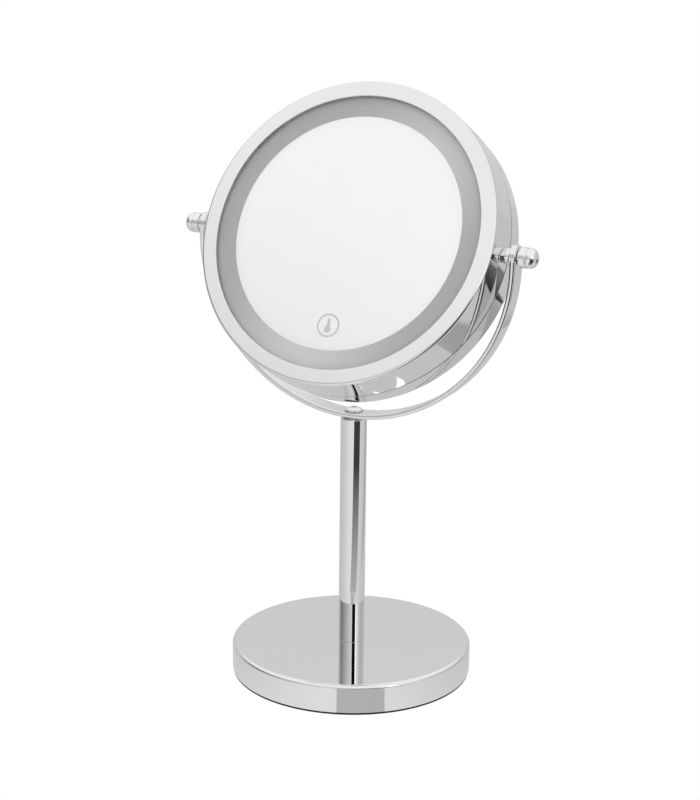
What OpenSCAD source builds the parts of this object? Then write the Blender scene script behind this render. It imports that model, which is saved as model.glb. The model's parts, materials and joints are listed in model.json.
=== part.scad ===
// Lighted two-sided vanity mirror on a weighted round base: chrome drum head in a half-ring yoke.
// Millimetres. Z is up, X is the tilt axis, the lit face looks towards -Y.

/* [Base] */
// Outside diameter of the base
base_d = 138; // [110:1:160]
// Height of the base over the table, rubber foot included
base_h = 17.5; // [14:0.5:30]
// Thickness of the rubber foot disc
foot_t = 1.2; // [0.8:0.1:3]
// Wall of the pressed base cover
cover_t = 1.2; // [0.8:0.1:2]
// Rounding of the base's top edge
base_round = 2.2; // [0.8:0.1:4]
// Thickness of the cast weight inside the base
weight_t = 8; // [5:0.1:12]

/* [Column] */
// Outside diameter of the column tube
column_d = 15; // [10:0.5:24]
// Wall of the column tube
column_wall = 1.2; // [0.8:0.1:2]
// Height of the tilt axis over the table
pivot_z = 253.5; // [200:0.5:300]

/* [Yoke] */
// Radius of the yoke's inner face
yoke_r = 93.3; // [92:0.1:110]
// Distance of the half ring's centre below the tilt axis
yoke_drop = 5; // [0:0.1:10]
// Thickness of the yoke's band
yoke_t = 3; // [2:0.5:5]
// Width of the yoke's band, front to back
yoke_w = 13; // [8:0.5:16]
// Radius of the round eye at each end
eye_r = 6.5; // [5:0.1:8]

/* [Head] */
// Outside diameter of the drum
drum_d = 175; // [150:1:180]
// Distance from the tilt axis to the front face
drum_front = 15.8; // [15:0.1:25]
// Distance from the tilt axis to the rear face
drum_rear = 22.4; // [21:0.1:30]
// Distance from the tilt axis back to the seam between the two halves
seam_f = 7.5; // [6:0.1:9]
// Rounding of the drum's rims
drum_round = 1.6; // [0.5:0.1:3]
// Wall of both drum halves
drum_wall = 2.2; // [1.6:0.1:3]
// Radius of the opening in each bezel
window_r = 78.1; // [70:0.1:84]
// Thickness of the bezel's lip
lip_t = 1.3; // [0.8:0.1:2]
// Radius of the clear mirror, inside the frosted ring
mirror_r = 66.8; // [50:0.1:74]
// How far the head leans back from upright, degrees
tilt = 28; // [0:1:60]

/* [Lighting] */
// Number of light emitting diodes
led_count = 24; // [8:1:48]
// Radius of the circle they sit on
led_circle_r = 71; // [66:0.5:75]
// Outside radius of the touch symbol's ring
icon_r = 6.65; // [4:0.05:9]
// Distance of the touch symbol below the mirror's centre
icon_drop = 53; // [40:0.5:58]
// Sideways offset of the touch symbol, as the pane sits slightly turned in the drum
icon_side = 1.7; // [-1.8:0.1:1.8]
// Width of the touch symbol's lines
icon_line = 1; // [0.5:0.1:2]

/* [Rear mirror] */
// Curvature radius of the magnifying mirror
concave_r = 650; // [400:10:2000]
// Angle that frees the rear cover
twist = 15; // [10:1:20]

/* [Hidden] */
$fn = 96;
base_r = base_d / 2;
column_r = column_d / 2;
drum_r = drum_d / 2;
wall_r = drum_r - drum_wall;
glass_t = 2;
glass_r = window_r + 1.9;
coat_t = 0.3;
glass_back = drum_front - lip_t - glass_t;
coat_back = glass_back - coat_t;
plate_f = 5.8;          // rear face of the chassis flange
plate_t = 1.6;
board_t = 1.2;
diffuser_t = 1.5;
deck_f = 7.7;           // rear face of the chassis centre
deck_front = 9.2;
boss_circle = 82.8;
yoke_low = pivot_z - yoke_drop - yoke_r - yoke_t;
pad_t = 0.6;
column_top = yoke_low - pad_t;
eye_in = 92.9;
eye_out = yoke_r + yoke_t;
stud_r = 2;
run = 0.06;             // radial running clearance
gap = 0.3;              // clearance between pieces that move
lug_angles = [90, 222, 325];
sleeve_arcs = [[50, 130], [203, 240], [305, 343]];
aaa_r = 5.25;
aaa_l = 44.5;
aaa_pitch = 11.2;
aaa_f = deck_f - 6.65;   // level of the cells' axes
bay_l = 49.2;           // inside length of the battery bay
bay_w = 44.8;
bay_wall = 1.6;
lug_f = 3.5 - seam_f;     // middle of the bayonet lugs
shoulder_f = -seam_f - 3.5;

chrome = [0.80, 0.81, 0.83];
steel = [0.62, 0.63, 0.65];
brass_c = [0.78, 0.60, 0.28];
black = [0.06, 0.06, 0.07];
white = [0.93, 0.93, 0.92];

// ---- helpers ----
function arc(cx, cy, r, a0, a1, n = 8) =
  [for (i = [0 : n]) [cx + r * cos(a0 + (a1 - a0) * i / n), cy + r * sin(a0 + (a1 - a0) * i / n)]];
function sag(r) = concave_r - sqrt(concave_r * concave_r - r * r);
function unit(v) = v / norm(v);
function bez(p, t) = p[0] * pow(1 - t, 3) + 3 * p[1] * t * pow(1 - t, 2)
  + 3 * p[2] * t * t * (1 - t) + p[3] * pow(t, 3);
function helix(r0, r1, h, turns, n) =
  [for (i = [0 : n]) let (k = i / n, r = r0 + (r1 - r0) * k)
    [r * cos(360 * turns * k), r * sin(360 * turns * k), h * k]];

// Local frame of the head: x right, y up the face, z out of the lit face.
module head() { translate([0, 0, pivot_z]) rotate([-tilt, 0, 0]) rotate([90, 0, 0]) children(); }
// Frame of one pivot: z points out along the tilt axis, to the right (s = 1) or left (s = -1).
module pivot(s) { translate([0, 0, pivot_z]) rotate([0, s * 90, 0]) children(); }
module ring(r0, r1, z0, z1) {
  rotate_extrude() polygon([[r0, z0], [r1, z0], [r1, z1], [r0, z1]]);
}
module disc(r, z0, z1) { translate([0, 0, z0]) cylinder(r = r, h = z1 - z0); }
module around(n, r, a0 = 0) {
  for (i = [0 : n - 1]) rotate([0, 0, a0 + 360 * i / n]) translate([r, 0, 0]) children();
}
module sector(r0, r1, z0, z1, a0, a1) {
  rotate([0, 0, a0]) rotate_extrude(angle = a1 - a0) polygon([[r0, z0], [r1, z0], [r1, z1], [r0, z1]]);
}
// A round wire along a path, as one closed skin.
module wire(p, r, n = 8) {
  m = len(p);
  dir = [for (i = [0 : m - 1]) unit(p[min(i + 1, m - 1)] - p[max(i - 1, 0)])];
  ref = [0.13, 0.21, 0.97];
  pts = [for (i = [0 : m - 1]) let (u = unit(cross(dir[i], ref)), v = cross(dir[i], u))
    for (k = [0 : n - 1]) p[i] + r * (u * cos(360 * k / n) + v * sin(360 * k / n))];
  side = [for (i = [0 : m - 2]) for (k = [0 : n - 1]) let (a = i * n + k, b = i * n + (k + 1) % n)
    each [[a, b, b + n], [a, b + n, a + n]]];
  ends = concat([[for (k = [0 : n - 1]) n - 1 - k]], [[for (k = [0 : n - 1]) (m - 1) * n + k]]);
  polyhedron(points = pts, faces = concat(side, ends));
}

// ---- base ----
module foot_pad() color(black) {
  r = base_r - 1;
  rotate_extrude() polygon([[0, 0], [r - 0.4, 0], [r, 0.4], [r, foot_t], [0, foot_t]]);
}
module base_bottom_plate() color(steel) disc(base_r - cover_t - 0.3, foot_t, foot_t + 1.5);
module base_weight() color([0.25, 0.25, 0.26]) {
  z0 = foot_t + 1.5;
  difference() {
    union() {
      disc(base_r - cover_t - 0.6, z0, z0 + weight_t);
      disc(17, z0, base_h - cover_t);
    }
    disc(9, z0 - 1, z0 + 6.5);
    disc(3.3, z0, base_h);
  }
}
module base_cover() color(chrome) difference() {
  rotate_extrude() polygon(concat(
    [[0, base_h - cover_t], [0, base_h]],
    arc(base_r - base_round, base_h - base_round, base_round, 90, 0),
    [[base_r, foot_t], [base_r - cover_t, foot_t], [base_r - cover_t, base_h - base_round]],
    arc(base_r - base_round, base_h - base_round, base_round - cover_t, 0, 90)));
  disc(3.3, 0, base_h + 1);
}
module base_bolt() color(steel) {
  z0 = foot_t + 1.5 + 6.5 - 1.6;
  translate([0, 0, z0 - 4]) cylinder(r = 5.77, h = 4, $fn = 6);
  disc(3, z0, 32);
}
module base_bolt_washer() color(steel) ring(3.2, 8, foot_t + 1.5 + 6.5 - 1.6, foot_t + 1.5 + 6.5);

// ---- column ----
module insert(z0, z1, bore, b0, b1) {
  difference() {
    disc(column_r - column_wall, z0, z1);
    disc(bore, b0, b1);
  }
}
module column_bottom_insert() color(steel) insert(base_h, base_h + 16, 3, base_h - 1, base_h + 15);
module column_tube() color(chrome) ring(column_r - column_wall, column_r, base_h, column_top);
module column_top_insert() color(steel) insert(column_top - 16, column_top, 2.5, column_top - 14, column_top + 1);

// ---- yoke ----
module yoke() color(chrome) {
  w = yoke_w / 2;
  k = 0.9;
  r0 = yoke_r;
  r1 = yoke_r + yoke_t;
  band = concat(arc(r1 - k, w - k, k, 0, 90, 4), arc(r0 + k, w - k, k, 90, 180, 4),
    arc(r0 + k, k - w, k, 180, 270, 4), arc(r1 - k, k - w, k, 270, 360, 4));
  difference() {
    union() {
      translate([0, 0, pivot_z - yoke_drop]) {
        rotate([90, 0, 0]) rotate([0, 0, 180]) rotate_extrude(angle = 180) polygon(band);
        for (s = [0, 180]) rotate([0, 0, s]) linear_extrude(yoke_drop) polygon(band);
      }
      for (s = [-1, 1]) pivot(s) translate([0, 0, eye_in]) rotate_extrude() polygon(
        [[0, 0], [eye_r - 0.5, 0], [eye_r, 0.5], [eye_r, eye_out - eye_in - 0.5],
          [eye_r - 0.5, eye_out - eye_in], [0, eye_out - eye_in]]);
      disc(6.2, column_top, yoke_low + 1);
    }
    for (s = [-1, 1]) pivot(s) disc(stud_r + run, 80, 110);
    disc(2.6, column_top - 1, yoke_low + yoke_t + 5);
  }
}
screw_seat = yoke_low + yoke_t + 0.12;
module yoke_washer() color(steel) ring(2.6, 4.9, screw_seat, screw_seat + 0.5);
module yoke_screw() color(chrome) {
  z0 = screw_seat + 0.5;
  h = 2.1;
  r = 4.5;
  difference() {
    rotate_extrude() polygon(concat([[0, column_top - 12], [2.5, column_top - 12], [2.5, z0], [r, z0]],
      [for (a = [10 : 10 : 90]) [r * cos(a), z0 + h * sin(a)]]));
    translate([0, 0, z0 + h - 1.2]) cylinder(r = 1.45, h = 3, $fn = 6);
  }
}
module friction_washers() color(black) for (s = [-1, 1]) pivot(s) ring(2.3, 3.9, eye_out, eye_out + 0.7);

// ---- head, outside ----
module front_housing() color(chrome) head() {
  k = drum_round;
  difference() {
    union() {
      rotate_extrude() polygon(concat(
        [[wall_r, drum_front - lip_t], [window_r, drum_front - lip_t], [window_r, drum_front - 0.4],
          [window_r + 0.4, drum_front]],
        arc(drum_r - k, drum_front - k, k, 90, 0),
        [[drum_r, 0.3 - seam_f], [drum_r - 0.3, -seam_f], [wall_r, -seam_f]]));
      around(6, boss_circle, 30) disc(2.6, plate_f + plate_t, drum_front - lip_t + 0.2);
      for (s = [-1, 1]) rotate([0, s * 90, 0]) disc(5.5, 74, wall_r + 0.6);
    }
    around(6, boss_circle, 30) disc(0.9, plate_f, drum_front - 3.4);
    for (s = [-1, 1]) rotate([0, s * 90, 0]) {
      disc(3.2, 70, 84);
      disc(2.4, 80, 95);
    }
    for (a = lug_angles) {
      sector(wall_r - 2, wall_r + 1.3, -seam_f - 1, lug_f + 1.1, a - twist - 5, a - twist + 5);
      sector(wall_r - 2, wall_r + 1.3, lug_f - 1.1, lug_f + 1.1, a - twist - 5, a + 5);
    }
  }
}
module front_glass() color([0.85, 0.93, 0.92, 0.35]) head() disc(glass_r, glass_back, glass_back + glass_t);
module icon() {
  difference() {
    circle(r = icon_r);
    circle(r = icon_r - icon_line);
  }
  translate([0, -2.1]) circle(r = 2);
  translate([-0.95, -1]) square([1.9, 4.2]);
  translate([0, 3.2]) circle(r = 0.95);
}
module icon_layer(h) translate([icon_side, -icon_drop, coat_back]) linear_extrude(h) icon();
module mirror_silvering() color([0.9, 0.91, 0.92]) head() difference() {
  disc(mirror_r, coat_back, glass_back);
  translate([0, 0, -1]) icon_layer(coat_t + 2);
}
module frosted_band() color([0.82, 0.83, 0.83]) head() {
  ring(mirror_r, glass_r, coat_back, glass_back);
  icon_layer(coat_t);
}

// ---- head, inside ----
module foam_pad() color([0.2, 0.2, 0.2]) head() difference() {
  disc(58, deck_front, coat_back);
  translate([0, -icon_drop, 0]) disc(8.5, deck_front - 1, coat_back + 1);
}
module diffuser_ring() color([0.95, 0.95, 0.94]) head() ring(62.5, glass_r, coat_back - diffuser_t, coat_back);
module led_board() color(white) head() ring(64.5, 77, plate_f + plate_t, plate_f + plate_t + board_t);
module leds() color([0.98, 0.93, 0.6]) head() around(led_count, led_circle_r)
  translate([-1.4, -1.75, plate_f + plate_t + board_t]) cube([2.8, 3.5, 0.8]);
module led_resistors() color(black) head() around(led_count / 3, led_circle_r, 7.5)
  translate([-0.6, -1, plate_f + plate_t + board_t]) cube([1.2, 2, 0.5]);
module chassis() color(white) head() difference() {
  f1 = plate_f + plate_t;
  rim = coat_back - diffuser_t - 0.1;
  rotate_extrude() polygon([[0, deck_f], [0, deck_front], [61.5, deck_front], [61.5, f1], [78.4, f1],
    [78.4, rim], [glass_r, rim], [glass_r, f1], [wall_r - gap, f1],
    [wall_r - gap, plate_f], [60, plate_f], [60, deck_f]]);
  for (s = [-1, 1]) translate([s * 84 - 10.5, -6.5, 0]) cube([21, 13, 20]);
  around(6, boss_circle, 30) disc(1.3, 0, 20);
  translate([0, -icon_drop, 0]) disc(5, 0, 20);
  translate([44, 0, 0]) disc(2.6, 0, 20);
  translate([66, 27.3, 0]) disc(1.6, 0, 20);
}
module chassis_screws() color(steel) head() around(6, boss_circle, 30) {
  disc(0.9, plate_f, plate_f + 6);
  difference() {
    disc(1.9, plate_f - 1.4, plate_f);
    for (a = [0, 90]) rotate([0, 0, a]) translate([-1.2, -0.25, plate_f - 2]) cube([2.4, 0.5, 1.2]);
  }
}
module touch_electrode() color(brass_c) head() translate([0, -icon_drop, 0]) disc(7, coat_back - 0.5, coat_back);
module touch_spring() color(steel) head() translate([0, -icon_drop, deck_f + 0.3])
  wire(helix(2.4, 3.4, coat_back - 0.5 - deck_f - 0.6, 3.5, 56), 0.25);
module touch_board() color([0.1, 0.35, 0.18]) head() translate([-13, -56, deck_f - 1.2]) cube([26, 14, 1.2]);
module touch_chip() color(black) head() translate([-2.5, -51, deck_f - 2.5]) cube([5, 4, 1.3]);

// ---- battery bay ----
module battery_holder() color(black) head() {
  l = bay_l + 2 * bay_wall;
  w = bay_w + 2 * bay_wall;
  difference() {
    translate([-l / 2, -w / 2, aaa_f - 6.25]) cube([l, w, deck_f - aaa_f + 6.25]);
    translate([-bay_l / 2, -bay_w / 2, aaa_f - 7]) cube([bay_l, bay_w, deck_f - aaa_f + 5.8]);
    translate([bay_l / 2 - 1, bay_w / 2 - 3, deck_f - 2.9]) cube([5, 1.6, 1.6]);
    translate([bay_l / 2 - 1, -bay_w / 2 + 1.4, deck_f - 2.9]) cube([5, 1.6, 1.6]);
  }
  for (i = [-1 : 1]) translate([-18, i * aaa_pitch - 0.5, aaa_f + 1.75])
    cube([34, 1, deck_f - aaa_f - 2.85]);
}
module batteries() color([0.12, 0.30, 0.50]) head() for (i = [0 : 3])
  translate([0, (i - 1.5) * aaa_pitch, aaa_f]) rotate([0, 0, i % 2 * 180]) rotate([0, 90, 0]) {
    disc(aaa_r, bay_l / 2 - 0.5 - aaa_l, bay_l / 2 - 1.6);
    disc(1.9, bay_l / 2 - 1.6, bay_l / 2 - 0.5);
  }
module battery_springs() color(steel) head() for (i = [0 : 3])
  translate([0, (i - 1.5) * aaa_pitch, aaa_f]) rotate([0, 0, i % 2 * 180])
    translate([0.8 - bay_l / 2, 0, 0]) rotate([0, 90, 0])
      wire(helix(4, 2.4, bay_l - 1 - aaa_l - 0.6, 3, 42), 0.3);
module battery_contacts() color([0.8, 0.8, 0.78]) head() {
  t = 0.5;
  z0 = aaa_f - 4.55;
  for (j = [-1, 1]) translate([bay_l / 2 - t, j * aaa_pitch - 8.6, z0]) cube([t, 17.2, 9.4]);
  translate([-bay_l / 2, -8.6, z0]) cube([t, 17.2, 9.4]);
  for (j = [-1, 1]) translate([-bay_l / 2, j * 1.5 * aaa_pitch - 4.2, z0]) cube([t, 8.4, 9.4]);
}
module lead(side) {
  y0 = side * (bay_w / 2 - 2.2);
  z0 = deck_f - 2.1;
  y1 = 27.3 + side * 0.65;
  z1 = plate_f - 3.2;
  p = [[bay_l / 2 - 0.4, y0, z0], [36, y0, z0], [58, 27.3 + side * 5, z1 - 0.7], [66, y1, z1]];
  q = [p[3], [66.1, y1, z1 + 1.2], [66.1, y1, z1 + 2.6], [66, y1, plate_f + plate_t - 0.1]];
  wire(concat([for (i = [0 : 23]) bez(p, i / 24)], [for (i = [0 : 8]) bez(q, i / 8)]), 0.5);
}
module wire_red() color([0.75, 0.08, 0.06]) head() lead(1);
module wire_black() color(black) head() lead(-1);

// ---- pivots ----
module pivot_inserts() color(brass_c) head() for (s = [-1, 1]) rotate([0, s * 90, 0]) ring(stud_r + run, 3.2, 74, 84);
module pivot_spacers() color(chrome) head() difference() {
  for (s = [-1, 1]) rotate([0, s * 90, 0]) difference() {
    rotate_extrude() polygon(concat([[0, drum_r - 0.3], [3.7, drum_r - 0.3]],
      [for (a = [-60 : 15 : 60]) [3.2 + 1.3 * cos(a), 90.15 + 2.6 * sin(a)]],
      [[3.6, eye_in - gap], [0, eye_in - gap]]));
    disc(2.4, 80, 100);
  }
  disc(drum_r, -20, 20);
}
module knob(s) pivot(s) difference() {
  rotate_extrude() polygon(concat([[0, eye_out + 1], [4, eye_out + 1], [4, 97.9], [5.4, 97.9], [5.7, 98.2], [5.7, 101.1],
    [5.4, 101.4], [5.15, 101.4], [5.15, 101.9], [5.6, 102.1]],
    [for (a = [0 : 10 : 90]) [5.6 * cos(a), 103.2 + 4.3 * sin(a)]]));
  disc(stud_r, 95, 103);
}
module stud(s) pivot(s) disc(stud_r, 76, 103);
module knob_left() color(chrome) knob(-1);
module stud_left() color(steel) stud(-1);
module knob_right() color(chrome) knob(1);
module stud_right() color(steel) stud(1);

// ---- rear cover ----
rear_front = -seam_f - 0.25;
pin_angle = -30;
pin_f = -seam_f - 5;
rear_face = lip_t - 0.1 - drum_rear;
back_f = shoulder_f - 0.2;   // front face of the backing plate
module rear_cover() color(chrome) head() {
  k = drum_round;
  difference() {
    union() {
      difference() {
        rotate_extrude() polygon(concat(
          [[wall_r - 1.9, shoulder_f], [wall_r - 1.9, lug_f + 1], [wall_r - gap, lug_f + 1],
            [wall_r - gap, rear_front],
            [drum_r - 0.3, rear_front], [drum_r, rear_front - 0.3]],
          arc(drum_r - k, k - drum_rear, k, 0, -90),
          [[window_r + 0.4, -drum_rear], [window_r, 0.4 - drum_rear], [window_r, rear_face],
            [wall_r, rear_face], [wall_r, shoulder_f]]));
        for (i = [0 : 2]) sector(wall_r - 4, wall_r - gap + 0.2, rear_front, 0, sleeve_arcs[i][1],
          sleeve_arcs[(i + 1) % 3][0] + (i == 2 ? 360 : 0));
      }
      for (a = lug_angles) sector(wall_r - 1, wall_r + 1, lug_f - 0.8, lug_f + 0.8, a - 4, a + 4);
      around(4, 82.9, 45) disc(2.6, rear_face - 0.2, back_f - 1.4);
    }
    around(4, 81.7, 45) disc(0.9, back_f - 7.5, back_f);
    rotate([0, 0, pin_angle]) translate([0, 0, pin_f]) rotate([0, 90, 0]) disc(0.9, 86, 90);
  }
}
module rear_mirror() color([0.88, 0.89, 0.9]) head() {
  edge = sag(glass_r);
  rotate_extrude() polygon(concat(
    [for (i = [0 : 16]) let (r = glass_r * i / 16) [r, rear_face + edge - sag(r)]],
    [for (i = [16 : -1 : 0]) let (r = glass_r * i / 16) [r, rear_face + edge - sag(r) + 2]]));
}
module rear_backing_plate() color(white) head() difference() {
  rotate_extrude() polygon([[0, back_f], [83.1, back_f], [83.1, back_f - 1.4], [79.5, back_f - 1.4],
    [79.5, rear_face + 2.35], [77.5, rear_face + 2.35], [77.5, back_f - 1.4], [0, back_f - 1.4]]);
  around(4, 81.7, 45) disc(1.1, back_f - 2, back_f + 1);
}
module backing_screws() color(steel) head() around(4, 81.7, 45) {
  disc(0.9, back_f - 6.5, back_f);
  disc(1.5, back_f, back_f + 1.2);
}
module index_pin() color(steel) head() rotate([0, 0, pin_angle]) translate([0, 0, pin_f]) rotate([0, 90, 0])
  disc(0.9, 86, drum_r + 0.5);

foot_pad();
base_bottom_plate();
base_weight();
base_cover();
base_bolt();
base_bolt_washer();
column_bottom_insert();
column_tube();
column_top_insert();
yoke();
yoke_washer();
yoke_screw();
friction_washers();
front_housing();
front_glass();
mirror_silvering();
frosted_band();
foam_pad();
diffuser_ring();
led_board();
leds();
led_resistors();
chassis();
chassis_screws();
touch_electrode();
touch_spring();
touch_board();
touch_chip();
battery_holder();
batteries();
battery_springs();
battery_contacts();
wire_red();
wire_black();
pivot_inserts();
pivot_spacers();
rear_cover();
rear_mirror();
rear_backing_plate();
backing_screws();
index_pin();
knob_left();
stud_left();
knob_right();
stud_right();
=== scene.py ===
"""Looks of a lighted two-sided vanity mirror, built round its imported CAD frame.

Shapes are drawn in millimetres and turned into metres when a piece is finished.
Local frames: UPRIGHT is the object's own frame, HEAD has x right, y up the face and z out of the lit face,
and PIVOTS has z pointing out along the tilt axis, one frame for each side.
"""
import json
import math

import bmesh
import bpy
from mathutils import Matrix, Vector


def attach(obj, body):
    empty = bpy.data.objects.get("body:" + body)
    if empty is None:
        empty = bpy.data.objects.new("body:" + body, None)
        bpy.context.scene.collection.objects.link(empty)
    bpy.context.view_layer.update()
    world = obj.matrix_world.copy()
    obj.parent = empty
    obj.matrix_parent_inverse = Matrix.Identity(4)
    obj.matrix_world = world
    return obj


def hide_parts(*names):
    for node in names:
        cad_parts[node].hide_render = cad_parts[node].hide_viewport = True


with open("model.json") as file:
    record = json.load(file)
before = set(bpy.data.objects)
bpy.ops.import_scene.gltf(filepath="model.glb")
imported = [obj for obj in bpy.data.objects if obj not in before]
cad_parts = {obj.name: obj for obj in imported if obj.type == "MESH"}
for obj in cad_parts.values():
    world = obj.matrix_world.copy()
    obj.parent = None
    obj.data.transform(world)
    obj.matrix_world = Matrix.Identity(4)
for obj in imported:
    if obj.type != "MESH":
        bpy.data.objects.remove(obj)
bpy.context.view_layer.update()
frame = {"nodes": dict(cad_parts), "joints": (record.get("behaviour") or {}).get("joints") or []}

MM = 0.001

# ---- frames and spans ----
JOINTS = {joint["name"]: joint for joint in frame["joints"]}
PIVOT_Z = JOINTS["head_tilt"]["pos_m"][2] / MM
FRONT = -Vector(JOINTS["rear_cover_twist"]["axis"])
SIDE = Vector((1, 0, 0))
UPRIGHT = Matrix.Identity(4)
HEAD = Matrix.Translation((0, 0, PIVOT_Z)) @ Matrix((SIDE, FRONT.cross(SIDE), FRONT)).transposed().to_4x4()
SIDES = (-1, 1)
PIVOTS = [Matrix.Translation((0, 0, PIVOT_Z)) @ Matrix.Rotation(math.radians(90 * side), 4, "Y")
          for side in SIDES]


def span(node, place=UPRIGHT):
    """Lowest and highest corner of a CAD node in a local frame, in millimetres."""
    back = place.inverted()
    points = [back @ (v.co / MM) for v in frame["nodes"][node].data.vertices]
    return [Vector(pick(p[i] for p in points) for i in range(3)) for pick in (min, max)]


# ---- sizes, in millimetres ----
STEPS = 240                 # steps round a large turned piece
FINE_STEPS = 360            # steps round the drum and its two mirrors
CREASE = 0.02               # air left where two pieces would share a face

FOOT_TOP = span("base_cover")[0].z
FOOT_INSET = 0.35           # how far the foot stands back from the base's side
FOOT_EDGE = 0.3
BASE_R = span("base_cover")[1].x
BASE_TOP = span("base_cover")[1].z
BASE_ROUND = 2.2
BASE_WALL = 1.2
COLUMN_R = span("column_tube")[1].x
COLUMN_TOP = span("column_tube")[1].z
COLUMN_WALL = 1.2

STUD_R = 2.0
STUD_HOLE = STUD_R + 0.06
YOKE_OUT = span("yoke")[1].x
YOKE_T = 3.0
YOKE_IN = YOKE_OUT - YOKE_T
YOKE_W = span("yoke")[1].y - span("yoke")[0].y
YOKE_EDGE = 1.35
EYE_IN = YOKE_IN - 0.4
EYE_R = YOKE_W / 2
PAD_T = 0.6
PAD_R = 4.8
YOKE_LOW = COLUMN_TOP + PAD_T
YOKE_DROP = PIVOT_Z - YOKE_OUT - YOKE_LOW
SCREW_HOLE = 2.6
WASHER_SEAT = YOKE_LOW + YOKE_T + 0.12
WASHER_TOP = WASHER_SEAT + 0.5

DRUM_R = span("front_housing", HEAD)[1].x
FACE = span("front_housing", HEAD)[1].z
SEAM = span("front_housing", HEAD)[0].z
REAR = span("rear_cover", HEAD)[0].z
DRUM_WALL = 2.2
DRUM_ROUND = 1.6
FRONT_DRAFT = 0.5           # how much narrower the drum's side is at its front edge than at the seam
REAR_DRAFT = 0.3            # and how much at its rear edge
WALL_R = DRUM_R - DRUM_WALL
LIP_T = 1.3
WINDOW_R = 78.1
SOFT_EDGE = 0.4             # rounding of the rims' small edges
SEAM_EDGE = 0.1             # rounding of the two edges at the seam
COVER_FRONT = SEAM - 0.8
REAR_LEDGE = REAR + LIP_T - 0.1
SHOULDER = SEAM - 3.5
SLEEVE_IN = WALL_R - 1.9
SLEEVE_OUT = WALL_R - 0.3
SLEEVE_ARCS = [(50, 130), (203, 240), (305, 343)]
LUG_ANGLES = [90, 222, 325]
LUG_MIDDLE = SEAM + 3.5
LUG_HALF = 0.8              # half the lug's thickness, along the drum's axis
SLOT_HALF = 1.1             # half the slot's width, along the drum's axis
TWIST = JOINTS["rear_cover_twist"]["range_deg"][1]
FRONT_BOSS_CIRCLE = 82.8
REAR_BOSS_CIRCLE = 81.7

GLASS_R = span("front_glass", HEAD)[1].x
GLASS_BACK = span("front_glass", HEAD)[0].z
GLASS_FRONT = span("front_glass", HEAD)[1].z
COAT_BACK = span("mirror_silvering", HEAD)[0].z
MIRROR_R = span("mirror_silvering", HEAD)[1].x
ICON_AT = (1.7, -53.0)
ICON_R = 6.65
ICON_LINE = 1.0
ICON_STEPS = 96
CONCAVE_R = 650.0
REAR_MIRROR_T = 2.0

PIN_ANGLE = -30
PIN_F = SEAM - 5.0
PIN_R = 1.15
PIN_TIP = DRUM_R + 0.5


# ---- camera ----
CAMERA_AT = (0.4773, -0.9780, 0.4720)       # metres
CAMERA_TURN = (26.134, 15.922, 0.64)        # degrees to the right of the front, downwards, and of roll
LENS = 90.35
SENSOR = 36


def make_camera():
    """The photograph's view: from the front right and a little above."""
    right, down, roll = (math.radians(angle) for angle in CAMERA_TURN)
    data = bpy.data.cameras.new("camera")
    data.lens = LENS
    data.sensor_width = SENSOR
    camera = bpy.data.objects.new("camera", data)
    bpy.context.scene.collection.objects.link(camera)
    turn = Matrix.Rotation(right, 4, "Z") @ Matrix.Rotation(math.pi / 2 - down, 4, "X")
    camera.matrix_world = Matrix.Translation(CAMERA_AT) @ turn @ Matrix.Rotation(roll, 4, "Z")
    bpy.context.scene.camera = camera


make_camera()


# ---- node helpers ----
def add(tree, kind, settings=(), **inputs):
    """A shader node; an input is a value or another node's output, and i0, i1 mean inputs by number."""
    node = tree.nodes.new("ShaderNode" + kind)
    for key, value in dict(settings).items():
        setattr(node, key, value)
    for key, value in inputs.items():
        name = key.replace("_", " ")
        socket = node.inputs[int(name[1:]) if name[0] == "i" and name[1:].isdigit() else name]
        if isinstance(value, bpy.types.NodeSocket):
            tree.links.new(value, socket)
        else:
            socket.default_value = value
    return node


def math_node(tree, operation, *values):
    """The result of one sum on values or other nodes' outputs."""
    settings = {"operation": operation}
    return add(tree, "Math", settings, **{f"i{i}": v for i, v in enumerate(values)}).outputs[0]


def toward(tree, angle, middle):
    """Cosine of the turn from a heading in degrees."""
    return math_node(tree, "COSINE", math_node(tree, "SUBTRACT", angle, math.radians(middle)))


def spread(tree, value, low, high, start=0.0, end=1.0, smooth=False):
    """Value from start to end, spread over low to high and held there."""
    settings = {"interpolation_type": "SMOOTHSTEP"} if smooth else {}
    node = add(tree, "MapRange", settings, Value=value, From_Min=start, From_Max=end, To_Min=low, To_Max=high)
    return node.outputs["Result"]


def blend(tree, factor, a, b):
    """A colour from a to b."""
    node = add(tree, "Mix", {"data_type": "RGBA"}, Factor=factor)
    for index, value in ((6, a), (7, b)):
        if isinstance(value, bpy.types.NodeSocket):
            tree.links.new(value, node.inputs[index])
        else:
            node.inputs[index].default_value = (*value, 1)
    return node.outputs[2]


def position(tree):
    """The piece's own coordinates, in metres."""
    return add(tree, "TexCoord").outputs["Object"]


def head_position(tree):
    """Coordinates in the head's frame: x right, y up the face, z out of it, in metres."""
    centred = add(tree, "VectorMath", {"operation": "SUBTRACT"}, i0=position(tree), i1=HEAD.translation * MM)
    level = add(tree, "VectorRotate", {"rotation_type": "X_AXIS"}, Vector=centred.outputs[0],
                Angle=-HEAD.to_euler().x)
    return level.outputs[0]


def noise(tree, size, detail):
    """Cloudy noise from 0 to 1, with lumps of that size in millimetres."""
    return add(tree, "TexNoise", Vector=position(tree), Scale=1 / (size * MM), Detail=detail).outputs[0]


def cells(tree, size, feature="F1"):
    """Distance pattern of round cells of that size in millimetres."""
    pattern = add(tree, "TexVoronoi", {"feature": feature}, Vector=position(tree), Scale=1 / (size * MM))
    return pattern.outputs[0]


def bump(tree, height, depth):
    """A surface normal from a height of 0 to 1 that is depth millimetres deep."""
    return add(tree, "Bump", Height=height, Distance=depth * MM, Strength=1.0).outputs[0]


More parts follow.
